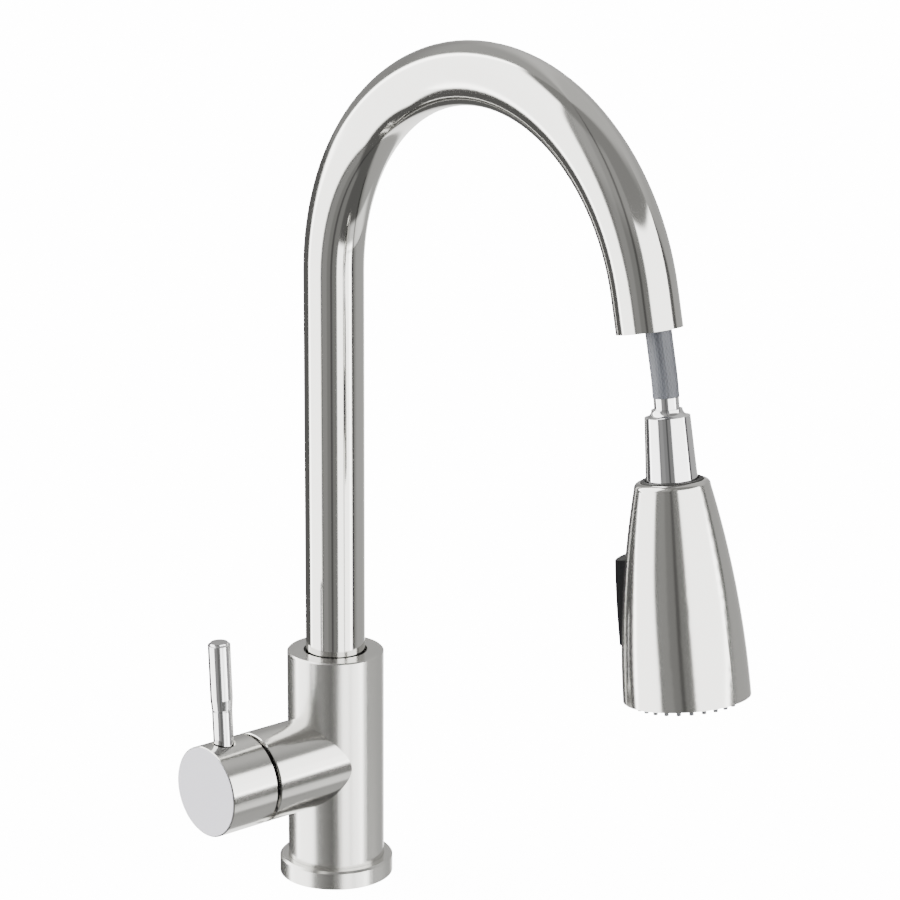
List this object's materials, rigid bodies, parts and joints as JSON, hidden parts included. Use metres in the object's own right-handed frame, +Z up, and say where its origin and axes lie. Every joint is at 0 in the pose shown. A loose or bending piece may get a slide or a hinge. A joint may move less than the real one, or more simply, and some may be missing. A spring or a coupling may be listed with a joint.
{
  "type": "pull down kitchen faucet",
  "caption": "Single-lever kitchen mixer with a high swivelling gooseneck spout and a pull-down spray head on a hose, brushed steel.",
  "frame": {"origin": "centre of the underside of the base flange, on the deck", "axes": "+Z up, +X the way the spout reaches at rest, -Y the way the side valve and lever point"},
  "size_m": [0.281, 0.1047, 0.4059],
  "materials": {
    "brushed_steel": "brushed stainless steel, satin",
    "polished_chrome": "polished chrome",
    "brass": "machined brass",
    "plain_steel": "plain stainless steel",
    "black_plastic": "black moulded ABS",
    "grey_plastic": "grey moulded acetal",
    "ceramic": "polished alumina ceramic",
    "black_rubber": "black nitrile rubber",
    "grey_rubber": "grey silicone rubber",
    "hose_braid": "grey nylon braid over a rubber hose"
  },
  "bodies": {
    "base": {"base_flange": "brushed_steel", "base_gasket": "black_rubber", "body_shell": "brushed_steel", "branch_sleeve": "brushed_steel", "shank_insert": "brass", "valve_block": "brass", "cartridge_plate": "grey_plastic", "port_seals": "black_rubber", "fixed_disc": "ceramic", "cartridge_housing": "grey_plastic", "cartridge_nut": "brass", "trim_ring": "polished_chrome", "lock_screw": "plain_steel"},
    "valve_rotor": {"stem_carrier": "grey_plastic", "stem_pin": "plain_steel"},
    "mixing_disc": {"moving_disc": "ceramic"},
    "handle": {"cartridge_stem": "plain_steel", "handle_hub": "brushed_steel", "lever_stem": "polished_chrome", "lever_grip": "polished_chrome", "handle_screw": "plain_steel", "screw_cap": "grey_plastic"},
    "spout": {"spout_tube": "brushed_steel", "spout_foot": "brass", "lower_wear_ring": "grey_plastic", "upper_wear_ring": "grey_plastic", "neck_seals": "black_rubber", "outlet_liner": "black_plastic", "hose_inner": "hose_braid", "hose_union": "brass"},
    "hose": {"hose_outer": "hose_braid"},
    "hose_end": {"hose_ferrule": "polished_chrome", "hose_tail": "brass", "tail_washer": "black_rubber", "collar": "polished_chrome", "swivel_nipple": "brass", "swivel_clip": "plain_steel", "swivel_seal": "black_rubber"},
    "spray_head": {"head_shell": "brushed_steel", "collar_wiper": "black_rubber", "head_core": "black_plastic", "rocker_pin": "plain_steel", "inlet_screen": "plain_steel", "check_valve": "grey_plastic", "spray_plate": "grey_plastic", "nozzle_mat": "grey_rubber", "stream_outlet": "grey_plastic", "face_screws": "plain_steel"},
    "rocker": {"rocker_button": "black_plastic"},
    "diverter": {"diverter_spool": "grey_plastic"}
  },
  "joints": [
    {"name": "spout_swivel", "type": "hinge", "parent": "base", "child": "spout", "pos_m": [0, 0, 0.1], "axis": [0, 0, 1], "continuous": true},
    {"name": "handle_turn", "type": "hinge", "parent": "base", "child": "valve_rotor", "pos_m": [0, -0.037, 0.0585], "axis": [0, -1, 0], "range_deg": [-45, 45]},
    {"name": "handle_tilt", "type": "hinge", "parent": "valve_rotor", "child": "handle", "pos_m": [0, -0.037, 0.0585], "axis": [1, 0, 0], "range_deg": [0, 25]},
    {"name": "disc_slide", "type": "slide", "parent": "valve_rotor", "child": "mixing_disc", "axis": [0, 0, 1], "range_m": [0, 0.0022]},
    {"name": "head_pull", "type": "slide", "parent": "spout", "child": "hose", "axis": [0.1286, 0, -0.9917], "range_m": [0, 0.25], "deforming": ["hose_outer"]},
    {"name": "head_dock", "type": "hinge", "parent": "hose", "child": "hose_end", "pos_m": [-0.49074, 0, 0.09706], "axis": [0, -1, 0], "range_deg": [0, 4.85]},
    {"name": "head_swivel", "type": "hinge", "parent": "hose_end", "child": "spray_head", "pos_m": [0.21611, 0, 0.23637], "axis": [-0.1286, 0, 0.9917], "continuous": true},
    {"name": "rocker_press", "type": "hinge", "parent": "spray_head", "child": "rocker", "pos_m": [0.20711, -0.00719, 0.18599], "axis": [-0.4191, 0.9063, -0.0544], "range_deg": [0, 5.5]},
    {"name": "diverter_shift", "type": "slide", "parent": "spray_head", "child": "diverter", "axis": [-0.1286, 0, 0.9917], "range_m": [-0.0005, 0]}
  ],
  "couplings": [
    {"joint": "disc_slide", "follows": "handle_tilt", "m_per_rad": 0.005},
    {"joint": "diverter_shift", "follows": "rocker_press", "m_per_rad": -0.0045}
  ]
}
